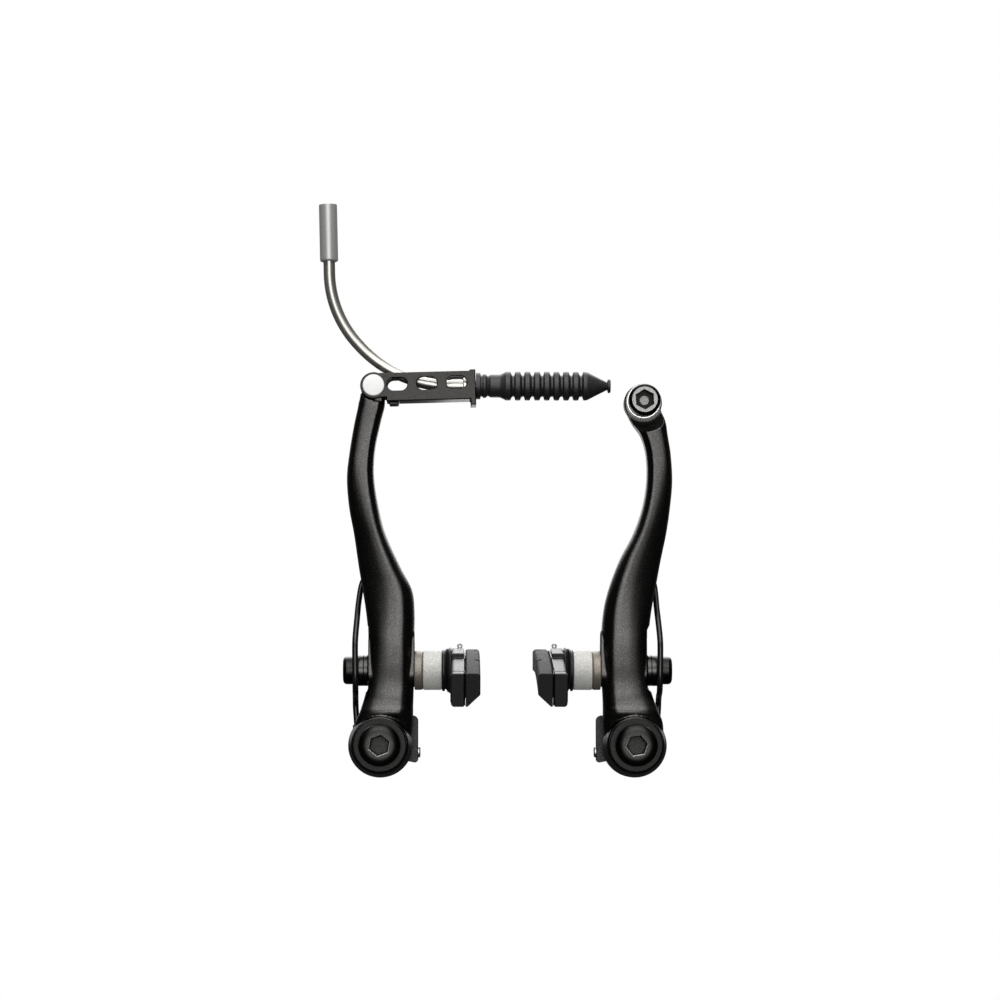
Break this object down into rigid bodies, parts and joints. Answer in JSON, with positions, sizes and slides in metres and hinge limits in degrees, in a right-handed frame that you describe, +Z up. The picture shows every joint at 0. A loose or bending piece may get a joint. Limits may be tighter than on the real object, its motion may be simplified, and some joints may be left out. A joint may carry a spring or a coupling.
{
  "type": "v-brake",
  "caption": "Linear-pull bicycle rim brake: two sprung forged arms with adjustable shoes, a swinging noodle link and a ribbed dust boot.",
  "frame": {"origin": "midway between the two pivot axes, in the plane of the frame shoulders that the pivot sleeves sit on", "axes": "+X to the right as seen from the front, across the wheel; +Y from the brake towards the frame, along the pivot axes; +Z up the arms, away from the hub"},
  "size_m": [0.1078, 0.0705, 0.1746],
  "materials": {
    "anodised_forging": "satin black anodised forging with a fine metallic grain",
    "black_steel": "black zinc-nickel steel",
    "bare_steel": "turned steel",
    "polished_steel": "polished",
    "bronze": "sintered bronze",
    "spring_steel": "black oiled spring steel",
    "stopper_plastic": "rough moulded",
    "cast_washer": "matte grit-blasted",
    "dark_washer": "dark satin",
    "link_steel": "satin black over pressed steel",
    "tube_steel": "polished stainless tube",
    "ferrule_aluminium": "matte turned aluminium",
    "liner_plastic": "low-friction plastic",
    "boot_rubber": "charcoal rubber",
    "pad_rubber": "moulded brake compound",
    "holder_black": "black cast holder"
  },
  "bodies": {
    "frame_side": {"left_pivot_sleeve": "bare_steel", "left_pivot_washer": "black_steel", "left_fixing_bolt": "black_steel", "left_stopper": "stopper_plastic", "left_stopper_pin": "bare_steel", "left_tension_screw": "bare_steel", "left_return_spring": "spring_steel", "right_pivot_sleeve": "bare_steel", "right_pivot_washer": "black_steel", "right_fixing_bolt": "black_steel", "right_stopper": "stopper_plastic", "right_stopper_pin": "bare_steel", "right_tension_screw": "bare_steel", "right_return_spring": "spring_steel"},
    "left_arm": {"left_arm": "anodised_forging", "left_arm_bush": "bronze", "left_spring_peg": "bare_steel"},
    "right_arm": {"right_arm": "anodised_forging", "right_arm_bush": "bronze", "right_spring_peg": "bare_steel", "cable_bolt": "black_steel", "cable_washer": "polished_steel"},
    "left_shoe_seat": {"left_inner_dome_washer": "dark_washer", "left_outer_dome_washer": "black_steel"},
    "left_shoe_tilt": {"left_inner_cup_washer": "cast_washer", "left_outer_cup_washer": "black_steel", "left_stud_nut": "black_steel"},
    "left_shoe": {"left_stud": "black_steel", "left_pad_holder": "holder_black", "left_pad": "pad_rubber", "left_pad_pin": "black_steel"},
    "right_shoe_seat": {"right_inner_dome_washer": "dark_washer", "right_outer_dome_washer": "black_steel"},
    "right_shoe_tilt": {"right_inner_cup_washer": "cast_washer", "right_outer_cup_washer": "black_steel", "right_stud_nut": "black_steel"},
    "right_shoe": {"right_stud": "black_steel", "right_pad_holder": "holder_black", "right_pad": "pad_rubber", "right_pad_pin": "black_steel"},
    "link": {"link_cage": "link_steel", "link_rivet": "polished_steel"},
    "noodle": {"noodle_tube": "tube_steel", "noodle_liner": "liner_plastic", "noodle_ferrule": "ferrule_aluminium", "noodle_tip": "tube_steel"},
    "boot": {"dust_boot": "boot_rubber"}
  },
  "joints": [
    {"name": "left_arm_pivot", "type": "hinge", "parent": "frame_side", "child": "left_arm", "pos_m": [-0.0384, -0.011, 0], "axis": [0, -1, 0], "range_deg": [-1, 28], "stiffness_Nm_per_rad": 2, "deforming": ["left_return_spring"]},
    {"name": "left_shoe_height", "type": "slide", "parent": "left_arm", "child": "left_shoe_seat", "axis": [0, 0, 1], "range_m": [-0.001, 0.007]},
    {"name": "left_shoe_toe_in", "type": "hinge", "parent": "left_shoe_seat", "child": "left_shoe_tilt", "pos_m": [-0.03515, -0.0109, 0.0226], "axis": [0, 0, -1], "range_deg": [-3, 3]},
    {"name": "left_shoe_angle", "type": "hinge", "parent": "left_shoe_tilt", "child": "left_shoe", "pos_m": [-0.03515, -0.0109, 0.0226], "axis": [1, 0, 0], "range_deg": [-12, 8]},
    {"name": "right_arm_pivot", "type": "hinge", "parent": "frame_side", "child": "right_arm", "pos_m": [0.0384, -0.011, 0], "axis": [0, 1, 0], "range_deg": [-1, 28], "stiffness_Nm_per_rad": 2, "deforming": ["right_return_spring"]},
    {"name": "right_shoe_height", "type": "slide", "parent": "right_arm", "child": "right_shoe_seat", "axis": [0, 0, 1], "range_m": [-0.001, 0.007]},
    {"name": "right_shoe_toe_in", "type": "hinge", "parent": "right_shoe_seat", "child": "right_shoe_tilt", "pos_m": [0.03515, -0.0109, 0.0226], "axis": [0, 0, 1], "range_deg": [-3, 3]},
    {"name": "right_shoe_angle", "type": "hinge", "parent": "right_shoe_tilt", "child": "right_shoe", "pos_m": [0.03515, -0.0109, 0.0226], "axis": [1, 0, 0], "range_deg": [-12, 8]},
    {"name": "link_pivot", "type": "hinge", "parent": "left_arm", "child": "link", "pos_m": [-0.0407, -0.0115, 0.1088], "axis": [0, -1, 0], "range_deg": [0, 100]},
    {"name": "noodle_swivel", "type": "hinge", "parent": "link", "child": "noodle", "pos_m": [-0.012, -0.0115, 0.1091], "axis": [1, 0, 0], "range_deg": [-12, 12]},
    {"name": "boot_slide", "type": "slide", "parent": "noodle", "child": "boot", "axis": [1, 0, 0], "range_m": [0, 0.0035]}
  ]
}
